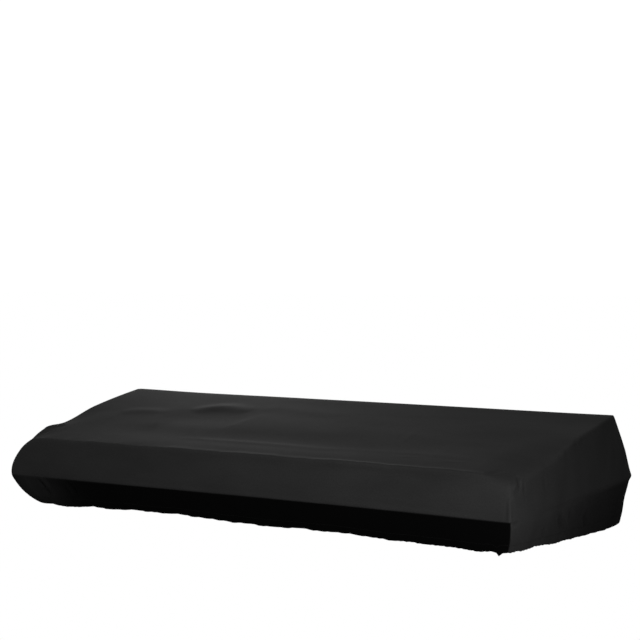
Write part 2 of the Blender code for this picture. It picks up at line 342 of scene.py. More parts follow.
# Finish of the thread
THREAD_WIDTH = 0.0007
THREAD_ROUGHNESS = 0.75
THREAD_SPECULAR = 0.08
TWIST_LENGTH = 0.8 * MM
TWIST_DETAIL = 2.0
TWIST_STRENGTH = 0.4
TWIST_HEIGHT = 0.2 * MM

# Hem stitches: their height between hem and fold, their pitch, and the share of it that shows
STITCH_LEVEL = 0.24
STITCH_PITCH = 0.0036
STITCH_SHARE = 0.72
STITCH_SIDES = 6
STITCH_RINGS = 5

# A stitch's first and last ring as shares of its arch, and the arch's height in half thread widths
STITCH_ENDS = (0.04, 0.96)
ARCH_RISE = 1.5
ARCH_SINK = 0.7

# Shift from the places as they were read to the frame of the solids
MIDDLE_Y = BACK_WIDE[0] / 2
HEM_LEVEL = 0.0104
PLACE = np.array((LEFT_BELLY / 2, -MIDDLE_Y, HEM_LEVEL))

# Camera, solved from the straight edges in a frame of 640 by 640 pixels
CAMERA_AZIMUTH = 35.52
CAMERA_ELEVATION = 1.60
CAMERA_DISTANCE = 3.088
CAMERA_TARGET = (0.026, 0.227, 0.354)
FOCAL_PIXELS = 1651.0
FRAME_PIXELS = 640.0
SENSOR_WIDTH = 36.0

# Soft lights: place, the point that they face, and size
OVERHEAD_LIGHT = ((0.46, -1.25, 0.78), (0.18, -0.15, 0.10), (0.8, 0.40))
CORNER_LIGHT = ((0.87, -0.35, 0.025), (0.55, -0.18, 0.03), (0.14, 0.05))
FAR_LIGHT = ((-0.86, 0.89, 0.53), (-0.14, 0.00, 0.16), (0.5, 0.3))
OVERHEAD_POWER = 12.9
CORNER_POWER = 1.0
FAR_POWER = 6.5
ROOM_LIGHT = 0.45

# Paper floor and white background
FLOOR_HALF = 30.0
FLOOR_GAP = 0.0005
FLOOR_GLOW = 1.0
BACKGROUND_GLOW = 1.1
WHITE = "#ffffff"
PAPER_GREY = "#8c8c8c"

# Numbers of the sides of a ring, which starts along the front
SIDES = 4
FRONT_SIDE = 0
RIGHT_SIDE = 1
BACK_SIDE = 2


def linear(hex_colour):
    """An sRGB hex colour as linear red, green, blue and alpha, by the sRGB curve."""
    parts = np.array([int(hex_colour[i : i + 2], 16) / 255 for i in (1, 3, 5)])
    low = parts / 12.92
    high = ((parts + 0.055) / 1.055) ** 2.4
    return (*np.where(parts <= 0.04045, low, high), 1.0)


def smooth_line(place, table):
    """A value read from a short table of (place, value), which eases from each entry to the next."""
    places, values = np.transpose(table)
    after = np.clip(np.searchsorted(places, place), 1, len(places) - 1)
    t = np.clip((place - places[after - 1]) / (places[after] - places[after - 1]), 0.0, 1.0)
    return values[after - 1] + (values[after] - values[after - 1]) * t * t * (3.0 - 2.0 * t)


def smooth_step(value, low, high):
    """Rises from 0 at low to 1 at high, and is level at both: three t squared less two t cubed."""
    t = np.clip((value - low) / (high - low), 0.0, 1.0)
    return t * t * (3.0 - 2.0 * t)


def waves_along(place, table):
    """Sum of sine waves of a length: height times the sine of two pi place over wave length."""
    return sum(height * np.sin(2 * np.pi * place / wave + phase) for wave, phase, height in table)


def waves_round(turn, table):
    """Sum of sine waves of the way round, where one turn is the whole way."""
    return sum(height * np.sin(2 * np.pi * waves * turn + phase) for waves, phase, height in table)


def out_from(y, z, start, end):
    """Distance outside the flat face that joins two profile points, met clockwise from the front."""
    dy = end[0] - start[0]
    dz = end[1] - start[1]
    return ((z - start[1]) * dy - (y - start[0]) * dz) / np.hypot(dy, dz)


def back_y(z):
    """How far back the cloth reaches below its widest line: straight up, then a lip that flares out."""
    rise = np.clip((z - BACK_STEP_Z) / (BACK_WIDE[1] - BACK_STEP_Z), 0.0, FACE_OVERRUN)
    return BACK_HEM[0] + (BACK_WIDE[0] - BACK_HEM[0]) * rise**BACK_STEP_CURVE


def end_x(y, z, tuck, belly):
    """Half length at a point of an end: a slight crown and belly, and drawn in below its lower line."""
    line_y, line_z = np.transpose(END_FOLD)
    line = np.interp(y, line_y, line_z)
    below = np.clip((line - z) / line, 0.0, FACE_OVERRUN)
    crown = END_CROWN * np.sin(np.pi * np.clip(y / BACK_WIDE[0], 0.0, 1.0))
    swell = belly * np.exp(-(((z - LEFT_BELLY_Z) / LEFT_BELLY_REACH) ** 2))
    return LENGTH / 2 + crown + swell - tuck * below**END_TUCK_CURVE


def top_dip(x, y):
    """How much lower the top lies near its ends: a table's depth times the squared nearness."""
    near_end = np.clip(1.0 - (LENGTH / 2 - np.abs(x)) / END_DIP_REACH, 0.0, 1.0) ** 2
    return np.where(x > 0, smooth_line(y, RIGHT_DIP), smooth_line(y, LEFT_DIP)) * near_end


def hem_sag(x, y):
    """How far the hem hangs below its own level: a sum of round bells of drop by reach."""
    sag = np.zeros(len(x))
    for at, back, reach, drop in HEM_SAGS:
        sag += drop * np.exp(-((x - at) ** 2 + (y - back) ** 2) / reach**2)
    return sag


def fold_radius(points):
    """Radius of the cloth's bend: small on a hard edge, and larger in bells at the soft places."""
    radius = np.full(len(points), FOLD_RADIUS)
    for x, y, z, reach, extra in SOFT_PLACES:
        away = np.sum((points - (x, y, z)) ** 2, axis=1)
        radius += extra * np.exp(-away / reach**2)
    return radius


def swell_of(points):
    """How far the cloth swells out from its plain faces: a sum of bells of height by reach."""
    swell = np.zeros(len(points))
    for x, y, z, reach, height in SWELLS:
        away = np.sum((points - (x, y, z)) ** 2, axis=1)
        swell += height * np.exp(-away / reach**2)
    return swell


def near(across, up, reach):
    """Nearness to a line that runs away from the reader: a bell of the distance across and up."""
    return np.exp(-(across**2 + up**2) / reach**2)


def outside(points):
    """How far each point is outside the cloth: the soft maximum of its distances from the faces."""
    x, y, z = points.T
    wave = waves_along(x, CREASE_WAVES)
    low_wave = wave + waves_along(x, CREASE_RISES)
    low_wave = low_wave * near(y - FRONT_FOLD[0], z - FRONT_FOLD[1], CREASE_REACH)
    high_wave = wave * near(y - FRONT_TOP[0], z - FRONT_TOP[1], CREASE_REACH)
    over_top = out_from(y, z, FRONT_TOP, BACK_TOP) + top_dip(x, y)
    scallop = waves_along(y, END_SCALLOPS) * smooth_step(y, *SCALLOPS_FROM)
    scallop *= near(x - LENGTH / 2, over_top, SCALLOP_REACH)
    faces = np.stack(
        [
            out_from(y, z, FRONT_HEM, FRONT_FOLD) + low_wave,
            out_from(y, z, FRONT_FOLD, FRONT_TOP),
            over_top - high_wave,
            out_from(y, z, BACK_TOP, BACK_WIDE),
            y - back_y(z),
            x - end_x(y, z, RIGHT_TUCK, 0.0) + scallop,
            -x - end_x(y, z, LEFT_TUCK, LEFT_BELLY),
            -z - hem_sag(x, y),
        ]
    )
    radius = fold_radius(points)
    highest = faces.max(axis=0)
    blended = highest + radius * np.log(np.exp((faces - highest) / radius).sum(axis=0))
    return blended - swell_of(points)


def core_of(points):
    """The nearest point of a block well inside the cover, from which the cloth is pushed outwards."""
    low = (-LENGTH / 2 + CORE_INSET, CORE_INSET, CORE_LOW_Z)
    high = (LENGTH / 2 - CORE_INSET, BACK_TOP[0] - CORE_INSET, CORE_HIGH_Z)
    return np.clip(points, low, high)


def settle(points):
    """Slides each point along its line from the core until it lies on the cloth's outer face."""
    along = points - core_of(points)
    along /= np.linalg.norm(along, axis=1)[:, None]
    for _ in range(SETTLE_STEPS):
        gap = outside(points)
        slope = (outside(points + along * PROBE) - gap) / PROBE
        points = points - along * (gap / np.maximum(slope, LEAST_SLOPE))[:, None]
    return points


def outward(points):
    """The outward direction at each point: the slope of the distance outside the cloth."""
    steps = np.eye(3) * PROBE
    slope = np.stack([outside(points + step) - outside(points - step) for step in steps], axis=1)
    return slope / np.linalg.norm(slope, axis=1)[:, None]


def bow(start, middle, end):
    """Points along the parabola that starts, passes the middle and ends at three places."""
    t = np.linspace(0.0, 1.0, PULL_STEPS + 1)[:, None]
    handle = 2.0 * np.array(middle) - (np.array(start) + np.array(end)) / 2
    return (1 - t) ** 2 * np.array(start) + 2 * t * (1 - t) * handle + t**2 * np.array(end)


def pull(points, start, middle, end, width, height):
    """A ridge along a bow: a bell of the distance from it, less a wider and lower bell on both sides.

    It is fullest at the bow's middle, and eases out at both ends as the square root of four t times
    one minus t.
    """
    path = bow(start, middle, end)
    runs = path[1:] - path[:-1]
    from_start = points[:, None, :] - path[None, :-1, :]
    along = np.clip((from_start * runs).sum(axis=2) / (runs**2).sum(axis=1), 0.0, 1.0)
    away = ((from_start - along[:, :, None] * runs) ** 2).sum(axis=2)
    nearest = away.argmin(axis=1)
    pick = np.arange(len(points))
    t = (nearest + along[pick, nearest]) / PULL_STEPS
    far = away[pick, nearest] / width**2
    bell = np.exp(-far) - TROUGH_SHARE * np.exp(-far / TROUGH_SPREAD**2)
    return height / (1 - TROUGH_SHARE) * bell * (4.0 * t * (1.0 - t)) ** 0.5


def dress(points, normals, turn):
    """Moves settled points by the pulls, the gathers of the lower edge, the hem's waves and its tip.

    turn is how far round the hem a point is, from 0 to 1, and is not a number on the top.
    """
    x, y, z = points.T
    lift = sum(pull(points, *row) for row in PULLS) * cover_sizes().pull_strength
    on_top = np.isnan(turn)
    height = np.where(on_top, np.inf, np.clip(z, 0.0, None))
    way = np.where(on_top, 0.0, turn)
    lift = lift + waves_round(way, GATHERS) * np.exp(-height / GATHER_FADE_Z)
    hang = waves_round(way, HEM_WAVES) * np.exp(-height / HEM_WAVE_FADE_Z)
    across, deep, high = TIP_REACH
    tip = np.exp(-np.abs(x - TIP_X) / across - (y / deep) ** 2 - (height / high) ** 2)
    moved = points + normals * lift[:, None]
    moved[:, 2] += hang - TIP_DROP * tip
    return moved


def crowded(cells, crowding):
    """Steps from 0 to 1 that lie closer together towards both ends: t less a sine of two pi t."""
    t = np.linspace(0.0, 1.0, cells + 1)
    return t - crowding * np.sin(2 * np.pi * t) / (2 * np.pi)


def deep_places():
    """Steps from 0 to 1 across the depth, read off a table that is finest at the folds and pleats."""
    cells, depth = np.transpose(DEEP_STEPS)
    return np.interp(np.linspace(0.0, 1.0, CELLS_DEEP + 1), cells, depth)


def corners_at(front, back, left_tuck, right_tuck):
    """The four corners of one level of the walls: front left, front right, back right, back left."""
    left = -LENGTH / 2 + left_tuck
    right = LENGTH / 2 - right_tuck
    return np.array([(left, *front), (right, *front), (right, *back), (left, *back)])


def side_steps():
    """The steps along the front, right, back and left, without their last one.

    They crowd towards both ends of the long sides, and follow the table on the short ones.
    """
    long_steps = crowded(CELLS_LONG, LONG_CROWDING)
    deep_steps = deep_places()
    return [long_steps[:-1], deep_steps[:-1], long_steps[:-1], (1.0 - deep_steps[::-1])[:-1]]


def ring(corners):
    """Points all round one level, from the front left corner along the front and back to it."""
    ends = np.roll(corners, -1, axis=0)
    sides = [
        start + (end - start) * steps[:, None]
        for start, end, steps in zip(corners, ends, side_steps())
    ]
    return np.concatenate(sides)


def hung(points):
    """Seeds of the walls let down with the hem: its sag times one less their height over the fold's."""
    share = np.clip(1.0 - points[:, 2] / FRONT_FOLD[1], 0.0, 1.0)
    return points - np.outer(hem_sag(points[:, 0], points[:, 1]) * share, (0.0, 0.0, 1.0))


def level_corners():
    """Corners of the four levels that the walls pass: the lip's inner edge, hem, fold and top edge."""
    inner_front = (FRONT_HEM[0] + LIP_WIDTH, 0.0)
    inner_back = (BACK_HEM[0] - LIP_WIDTH, 0.0)
    return [
        corners_at(inner_front, inner_back, LEFT_TUCK + LIP_WIDTH, RIGHT_TUCK + LIP_WIDTH),
        corners_at(FRONT_HEM, BACK_HEM, LEFT_TUCK, RIGHT_TUCK),
        corners_at(FRONT_FOLD, BACK_WIDE, 0.0, 0.0),
        corners_at(FRONT_TOP, BACK_TOP, 0.0, 0.0),
    ]


def wall_rings():
    """The walls' rows, as rings, from the lip's inner edge to just below the top's edge."""
    levels = level_corners()
    rows = (LIP_ROWS, LOWER_ROWS, UPPER_ROWS)
    return [
        hung(ring(low + (high - low) * step))
        for low, high, count in zip(levels[:-1], levels[1:], rows)
        for step in crowded(count, WALL_CROWDING)[:-1]
    ]


def top_grid():
    """The top's points: rows between its front and back edges, at the steps of the four sides."""
    edge = level_corners()[-1]
    across = crowded(CELLS_LONG, LONG_CROWDING)[None, :, None]
    back = deep_places()[:, None, None]
    front_row = edge[0] + (edge[1] - edge[0]) * across
    back_row = edge[3] + (edge[2] - edge[3]) * across
    return (front_row + (back_row - front_row) * back).reshape(-1, 3)


def top_rim():
    """Numbers of the top grid's points along its four edges, in the order of a ring."""
    across = CELLS_LONG + 1
    front = np.arange(CELLS_LONG)
    right = np.arange(CELLS_DEEP) * across + CELLS_LONG
    back = CELLS_DEEP * across + CELLS_LONG - np.arange(CELLS_LONG)
    left = (CELLS_DEEP - np.arange(CELLS_DEEP)) * across
    return np.concatenate([front, right, back, left])


def turns_of(ring_points):
    """How far round each point of a ring is, from 0 to 1, by the lengths between its points."""
    gaps = np.linalg.norm(np.roll(ring_points, -1, axis=0) - ring_points, axis=1)
    return np.concatenate([[0.0], np.cumsum(gaps)[:-1]]) / gaps.sum()


def cloth_faces(levels, round_count):
    """Four-sided faces of the top and the walls, all seen from outside, as two arrays."""
    across = CELLS_LONG + 1
    row, column = np.mgrid[0:CELLS_DEEP, 0:CELLS_LONG]
    first = (row * across + column).ravel()
    top = np.stack([first, first + 1, first + 1 + across, first + across], axis=1)
    rings = across * (CELLS_DEEP + 1) + np.arange(levels * round_count).reshape(levels, -1)
    rings = np.vstack([rings, top_rim()])
    quads = [rings[:-1], np.roll(rings[:-1], -1, axis=1), np.roll(rings[1:], -1, axis=1), rings[1:]]
    return top, np.stack([corner.ravel() for corner in quads], axis=1)


def flat_places(points, levels, round_count):
    """Where each face corner lies on the cloth before it is sewn, in metres, for its weave.

    The top keeps its X and its way up the slope. A wall unfolds outwards from the top's edge: its
    own run is kept, and its drop is the length of cloth below the edge.
    """
    across = CELLS_LONG + 1
    slope = np.hypot(BACK_TOP[0] - FRONT_TOP[0], BACK_TOP[1] - FRONT_TOP[1])
    grid_u = points[: across * (CELLS_DEEP + 1), 0]
    grid_v = np.repeat(deep_places() * slope, across)
    top, walls = cloth_faces(levels, round_count)
    top_uv = np.stack([grid_u[top], grid_v[top]], axis=2)
    steps = np.linalg.norm(points[walls[:, 3]] - points[walls[:, 0]], axis=1)
    steps = steps.reshape(levels, round_count)
    drop = np.vstack([np.cumsum(steps[::-1], axis=0)[::-1], np.zeros(round_count)])
    counts = [len(s) for s in side_steps()]
    side = np.repeat(np.arange(SIDES), counts)
    x = points[walls][:, :, 0]
    y = points[walls][:, :, 1] - FRONT_TOP[0]
    row = np.arange(levels)[:, None]
    column = np.arange(round_count)[None, :]
    after = (column + 1) % round_count
    corners = ((row, column), (row, after), (row + 1, after), (row + 1, column))
    drops = np.stack([drop[at].ravel() for at in corners], axis=1)
    side = np.tile(side, levels)[:, None]
    on_side = [side == FRONT_SIDE, side == RIGHT_SIDE, side == BACK_SIDE]
    half = LENGTH / 2
    u = np.select(on_side, [x, half + drops, x], -half - drops)
    v = np.select(on_side, [-drops, y, slope + drops], y)
    return np.concatenate([top_uv, np.stack([u, v], axis=2)])


def painted_shade_of(points, normals):
    """Painted shade on the cloth, from 0 to 1: none above the lower crease and the ends' lower line.

    On cloth that faces forwards or backwards it rises over a short height below the crease, and less so
    by the folds at the far left. On the right end it rises less, and only towards the back.
    """
    x, y, z = points.T
    front_crease = FRONT_FOLD[1] + CREASE_LIFT * waves_along(x, CREASE_RISES)
    crease = np.where(y < MIDDLE_Y, front_crease, BACK_WIDE[1])
    facing = smooth_step(np.abs(normals[:, 1]), *PAINTED_SHADE_FACING)
    away = np.sum((points - FAR_FOLDS) ** 2, axis=1)
    folds = 1.0 - FAR_FOLDS_SHADE_CUT * np.exp(-away / FAR_FOLDS_REACH**2)
    long_sides = smooth_step(crease - z, 0.0, PAINTED_SHADE_RISE) * facing * folds
    long_sides *= np.where(y < MIDDLE_Y, 1.0, BACK_PAINTED_SHADE)
    line = np.interp(y, *np.transpose(END_FOLD))
    drawn_in = smooth_step(line - z, 0.0, END_PAINTED_SHADE_RISE) * smooth_step(y, *END_PAINTED_SHADE_FROM)
    ends = END_PAINTED_SHADE * drawn_in * (1.0 - facing) * (x > 0)
    return np.maximum(long_sides, ends)


def new_piece(name, points, faces, material):
    """A smooth mesh object at the origin from arrays of points and four-sided faces."""
    mesh = bpy.data.meshes.new(name)
    mesh.vertices.add(len(points))
    mesh.vertices.foreach_set("co", points.astype(np.float32).ravel())
    mesh.loops.add(faces.size)
    mesh.loops.foreach_set("vertex_index", faces.astype(np.int32).ravel())
    mesh.polygons.add(len(faces))
    mesh.polygons.foreach_set("loop_start", np.arange(0, faces.size, faces.shape[1], dtype=np.int32))
    mesh.update(calc_edges=True)
    mesh.validate()
    mesh.shade_smooth()
    mesh.materials.append(material)
    piece = bpy.data.objects.new(name, mesh)
    bpy.context.scene.collection.objects.link(piece)
    return piece


def cover_sizes():
    """The sizes that a user can change in the panel."""
    return bpy.context.scene.piano_cover_sizes


def cover_finish():
    """The colours and finish that a user can change in the panel."""
    return bpy.context.scene.piano_cover_finish


def cover_studio():
    """The lights and floor that a user can change in the panel."""
    return bpy.context.scene.piano_cover_studio


def add_node(tree, kind, links=None, **settings):
    """Adds a node, sets its properties and input values, and links its inputs from other sockets."""
    node = tree.nodes.new(kind)
    for name, value in settings.items():
        if hasattr(node, name):
            setattr(node, name, value)
        else:
            node.inputs[name.replace("_", " ")].default_value = value
    for name, socket in (links or {}).items():
        tree.links.new(socket, node.inputs[name])
    return node


def brushed_stretch_knit():
    """Polyester and elastane jersey, circular knitted, dyed black and brushed to a short nap.

    The nap scatters light, so the cloth has no gloss and lightens only where it is seen edge on.
    The fine wales run across the cover, and the dye and the lie of the nap vary a little in clouds.
    Below the creases, and low on the right end towards the back, the colour is mixed to near black as
    painted shade.
    """
    finish = cover_finish()
    material = bpy.data.materials.new("brushed_stretch_knit")
    material.use_nodes = True
    tree = material.node_tree
    shader = tree.nodes["Principled BSDF"]
    place = add_node(tree, "ShaderNodeTexCoord").outputs["UV"]

    # Clouds in the nap are about 60 mm across and drawn out along the stretch
    cloud_place = add_node(
        tree, "ShaderNodeMapping", {"Vector": place}, Scale=CLOUD_STRETCH
    ).outputs["Vector"]
    clouds = add_node(
        tree,
        "ShaderNodeTexNoise",
        {"Vector": cloud_place},
        Scale=1 / CLOUD_WIDTH,
        Detail=CLOUD_DETAIL,
    ).outputs["Fac"]
    # Fibre tufts of the nap are under 1 mm: drawn 2.5 mm across so that they show
    tufts = add_node(
        tree, "ShaderNodeTexNoise", {"Vector": place}, Scale=1 / TUFT_WIDTH, Detail=TUFT_DETAIL
    ).outputs["Fac"]
    mixed = add_node(
        tree, "ShaderNodeMath", {0: clouds, 1: tufts}, operation="MULTIPLY"
    ).outputs["Value"]
    shade = add_node(
        tree, "ShaderNodeMapRange", {"Value": mixed}, From_Min=SHADE_FROM, From_Max=SHADE_TO
    ).outputs["Result"]
    dye = add_node(tree, "ShaderNodeMix", {"Factor": shade}, data_type="RGBA")
    dye.inputs["A"].default_value = finish.deep_dye
    dye.inputs["B"].default_value = finish.pale_dye
    # Painted shade: below the creases, and low on the right end towards the back, the dye is mixed
    # towards near black
    painted_shade = add_node(tree, "ShaderNodeAttribute", attribute_name="painted_shade").outputs["Fac"]
    depth = add_node(tree, "ShaderNodeMix", {"Factor": painted_shade}, data_type="RGBA")
    depth.inputs["B"].default_value = finish.painted_shade_and_strand_dye
    tree.links.new(dye.outputs["Result"], depth.inputs["A"])
    tree.links.new(depth.outputs["Result"], shader.inputs["Base Color"])

    # Wales are 0.7 mm apart on such a jersey: drawn 1.2 mm apart, coarser so that they show
    wales = add_node(
        tree,
        "ShaderNodeTexWave",
        {"Vector": place},
        wave_type="BANDS",
        bands_direction="X",
        Scale=2 * np.pi / (WAVE_TURN * WALE_PITCH),
        Distortion=0.0,
    ).outputs["Fac"]
    rib_bump = add_node(
        tree, "ShaderNodeBump", {"Height": wales}, Strength=RIB_STRENGTH, Distance=RIB_HEIGHT
    ).outputs["Normal"]
    nap_bump = add_node(
        tree,
        "ShaderNodeBump",
        {"Height": tufts, "Normal": rib_bump},
        Strength=NAP_STRENGTH,
        Distance=NAP_HEIGHT,
    ).outputs["Normal"]
    tree.links.new(nap_bump, shader.inputs["Normal"])

    shader.inputs["Roughness"].default_value = CLOTH_ROUGHNESS
    shader.inputs["Specular IOR Level"].default_value = CLOTH_SPECULAR
    shader.inputs["Sheen Weight"].default_value = finish.sheen
    shader.inputs["Sheen Roughness"].default_value = SHEEN_ROUGHNESS
    shader.inputs["Sheen Tint"].default_value = linear(NAP_SHEEN)
    return material


def polyester_thread():
    """Spun polyester sewing thread, dyed black: a dull, slightly hairy strand with a faint gloss."""
    finish = cover_finish()
    material = bpy.data.materials.new("spun_polyester_thread")
    material.use_nodes = True
    tree = material.node_tree
    shader = tree.nodes["Principled BSDF"]
    place = add_node(tree, "ShaderNodeTexCoord").outputs["Object"]
    twist = add_node(
        tree, "ShaderNodeTexNoise", {"Vector": place}, Scale=1 / TWIST_LENGTH, Detail=TWIST_DETAIL
    ).outputs["Fac"]
    dye = add_node(tree, "ShaderNodeMix", {"Factor": twist}, data_type="RGBA")
    # The thread's dark strands share the near-black dye of the cloth's painted shade
    dye.inputs["A"].default_value = finish.painted_shade_and_strand_dye
    dye.inputs["B"].default_value = finish.thread_dye
    tree.links.new(dye.outputs["Result"], shader.inputs["Base Color"])
    bump = add_node(
        tree, "ShaderNodeBump", {"Height": twist}, Strength=TWIST_STRENGTH, Distance=TWIST_HEIGHT
    ).outputs["Normal"]
    tree.links.new(bump, shader.inputs["Normal"])
    shader.inputs["Roughness"].default_value = THREAD_ROUGHNESS
    shader.inputs["Specular IOR Level"].default_value = THREAD_SPECULAR
    return material


def make_cloth():
    """The cover's one sheet: its outer face on a grid, with its thickness added on the inside."""
    levels = wall_rings()
    round_count = len(levels[0])
    top = top_grid()
    turn = turns_of(ring(level_corners()[1]))
    turns = np.concatenate([np.full(len(top), np.nan), np.tile(turn, len(levels))])
    settled = settle(np.vstack([top, *levels]))
    normals = outward(settled)
    points = dress(settled, normals, turns)
    faces = np.concatenate(cloth_faces(len(levels), round_count))
    places = flat_places(settled, len(levels), round_count)
    cloth = new_piece("stretch_cloth", points + PLACE, faces, brushed_stretch_knit())
    weave = cloth.data.uv_layers.new(name="flat_cloth")
    weave.uv.foreach_set("vector", places.astype(np.float32).ravel())
    # Painted shade, from 0 to 1, for the material to darken the cloth below the creases
    painted_shade = cloth.data.attributes.new("painted_shade", "FLOAT", "POINT")
    painted_shade.data.foreach_set("value", painted_shade_of(settled, normals).astype(np.float32))
    sheet = cloth.modifiers.new("cloth thickness", "SOLIDIFY")
    sheet.thickness = cover_sizes().cloth_thickness
    sheet.offset = -1.0
    return cloth


def stitch_line():
    """Centres, forward directions and outward directions of the hem's stitches, on the dressed cloth.

    A fine ring a little above the hem is settled and dressed as the cloth is. Its points at even
    lengths are read off by their length from the start.
    """
    levels = level_corners()
    seed = hung(ring(levels[1] + (levels[2] - levels[1]) * STITCH_LEVEL))
    settled = settle(seed)
    normals = outward(settled)
    line = dress(settled, normals, turns_of(ring(levels[1])))
    closed = np.vstack([line, line[:1]])
    run = np.concatenate([[0.0], np.cumsum(np.linalg.norm(np.diff(closed, axis=0), axis=1))])
    count = int(run[-1] / STITCH_PITCH)
    at = (np.arange(count) + 0.5) * run[-1] / count
    centre = np.stack([np.interp(at, run, closed[:, k]) for k in range(3)], axis=1)
    closed_out = np.vstack([normals, normals[:1]])
    out = np.stack([np.interp(at, run, closed_out[:, k]) for k in range(3)], axis=1)
    out /= np.linalg.norm(out, axis=1)[:, None]
    ahead = np.roll(centre, -1, axis=0) - np.roll(centre, 1, axis=0)
    ahead -= out * (ahead * out).sum(axis=1)[:, None]
    ahead /= np.linalg.norm(ahead, axis=1)[:, None]
    return centre, ahead, out


def make_hem_stitches():
    """A row of thread stitches round the hem, as one mesh.

    Each stitch is a round profile carried along a low arch. The arch's height is a half sine, so
    both ends dip into the cloth, and the profile's radius follows the square root of that sine.
    """
    centre, ahead, out = stitch_line()
    thread = cover_sizes().thread_width / 2
    t = np.linspace(*STITCH_ENDS, STITCH_RINGS)
    along = (t - 0.5) * STITCH_PITCH * STITCH_SHARE
    height = thread * (ARCH_RISE * np.sin(np.pi * t) - ARCH_SINK)
    radius = thread * np.sin(np.pi * t) ** 0.5
    around = np.arange(STITCH_SIDES) * 2 * np.pi / STITCH_SIDES
    sideways = np.cross(ahead, out)
    spine = centre[:, None, :] + ahead[:, None, :] * along[:, None]
    spine = spine + out[:, None, :] * height[:, None]
    rim = (
        sideways[:, None, None, :] * np.cos(around)[:, None]
        + out[:, None, None, :] * np.sin(around)[:, None]
    )
    points = spine[:, :, None, :] + rim * radius[None, :, None, None]
    each = STITCH_RINGS * STITCH_SIDES
    low = np.arange((STITCH_RINGS - 1) * STITCH_SIDES).reshape(STITCH_RINGS - 1, STITCH_SIDES)
    beside = np.roll(low, -1, axis=1)
    shell = np.stack([low, low + STITCH_SIDES, beside + STITCH_SIDES, beside], axis=2).reshape(-1, 4)
    first = np.array([(0, 1, 2, 3), (0, 3, 4, 5)])
    last = first[:, ::-1] + each - STITCH_SIDES
    one = np.concatenate([shell, first, last])
    faces = (np.arange(len(centre))[:, None, None] * each + one).reshape(-1, 4)
    return new_piece("hem_stitches", points.reshape(-1, 3) + PLACE, faces, polyester_thread())


def look_at(item, target):
    """Turns an object so that it looks at a point, with its own Y up."""
    item.rotation_mode = "QUATERNION"
    item.rotation_quaternion = (Vector(target) - item.location).to_track_quat("-Z", "Y")


def soft_box(name, place, target, size, power):
    """A flat rectangular studio light at a place, turned to face a point."""
    data = bpy.data.lights.new(name, "AREA")
    data.shape = "RECTANGLE"
    data.size, data.size_y = size
    data.energy = power
    lamp = bpy.data.objects.new(name, data)
    lamp.visible_camera = False
    lamp.location = place
    look_at(lamp, target)
    bpy.context.scene.collection.objects.link(lamp)


def white_paper():
    """White background paper, lit so brightly that it is even white to the eye.

    To everything but the camera it is a dull grey, so it throws only a little light up at the cover.
    """
    studio = cover_studio()
    material = bpy.data.materials.new("white_background_paper")
    material.use_nodes = True
    tree = material.node_tree
    tree.nodes.remove(tree.nodes["Principled BSDF"])
    output = tree.nodes["Material Output"]
    glow = add_node(tree, "ShaderNodeEmission", Color=linear(WHITE), Strength=studio.floor_glow)
    dull = add_node(tree, "ShaderNodeBsdfDiffuse", Color=linear(PAPER_GREY))
    seen = add_node(tree, "ShaderNodeLightPath").outputs["Is Camera Ray"]
    mix = add_node(tree, "ShaderNodeMixShader", {"Fac": seen})
    tree.links.new(dull.outputs[0], mix.inputs[1])
    tree.links.new(glow.outputs[0], mix.inputs[2])
    tree.links.new(mix.outputs[0], output.inputs["Surface"])
    return material


def make_floor():
    """A wide flat floor just below the lowest point of the dressed cover."""
    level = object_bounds()[0][2] - FLOOR_GAP
    corners = np.array([(-1.0, -1.0), (1.0, -1.0), (1.0, 1.0), (-1.0, 1.0)]) * FLOOR_HALF
    points = np.column_stack([corners, np.full(len(corners), level)])
    floor = new_piece("studio_floor", points, np.array([[0, 1, 2, 3]]), white_paper())
    floor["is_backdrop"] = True


def make_backdrop_light():
    """White behind everything for the camera, and only a dim grey for the cloth."""
    studio = cover_studio()
    world = bpy.data.worlds.new("white_studio")
    bpy.context.scene.world = world
    world.use_nodes = True
    tree = world.node_tree
    dim = add_node(tree, "ShaderNodeBackground", Color=linear(WHITE), Strength=studio.room_light)
    white = add_node(tree, "ShaderNodeBackground", Color=linear(WHITE), Strength=BACKGROUND_GLOW)
    seen = add_node(tree, "ShaderNodeLightPath").outputs["Is Camera Ray"]
    mix = add_node(tree, "ShaderNodeMixShader", {"Fac": seen})
    tree.links.new(dim.outputs[0], mix.inputs[1])
    tree.links.new(white.outputs[0], mix.inputs[2])
    tree.links.new(mix.outputs[0], tree.nodes["World Output"].inputs["Surface"])


def make_camera():
    """The camera at the solved angle, with a lens that gives the solved focal length."""
    azimuth, elevation = np.radians((CAMERA_AZIMUTH, CAMERA_ELEVATION))
    level = np.cos(elevation)
    back = np.array((np.sin(azimuth) * level, -np.cos(azimuth) * level, np.sin(elevation)))
    target = np.array(CAMERA_TARGET) + PLACE
    data = bpy.data.cameras.new("camera")
    data.sensor_width = SENSOR_WIDTH
    data.lens = FOCAL_PIXELS * SENSOR_WIDTH / FRAME_PIXELS
    camera = bpy.data.objects.new("camera", data)
    camera.location = target + back * CAMERA_DISTANCE
    look_at(camera, target)
    bpy.context.scene.collection.objects.link(camera)
    bpy.context.scene.camera = camera


class PianoCoverSizes(bpy.types.PropertyGroup):
    """Sizes of the cover that a user can change"""

    cloth_thickness: FloatProperty(
        name="Cloth thickness",
        description="Thickness of the knit",
        default=CLOTH_THICKNESS,
        min=0.0005,
        unit="LENGTH",
    )
    pull_strength: FloatProperty(
        name="Pulls",
        description="Share of the full height of the pulls and pleats",
        default=1.0,
        min=0.0,
    )
    thread_width: FloatProperty(
        name="Thread width",
        description="Width of the hem's thread",
        default=THREAD_WIDTH,
        min=0.0001,
        unit="LENGTH",
    )


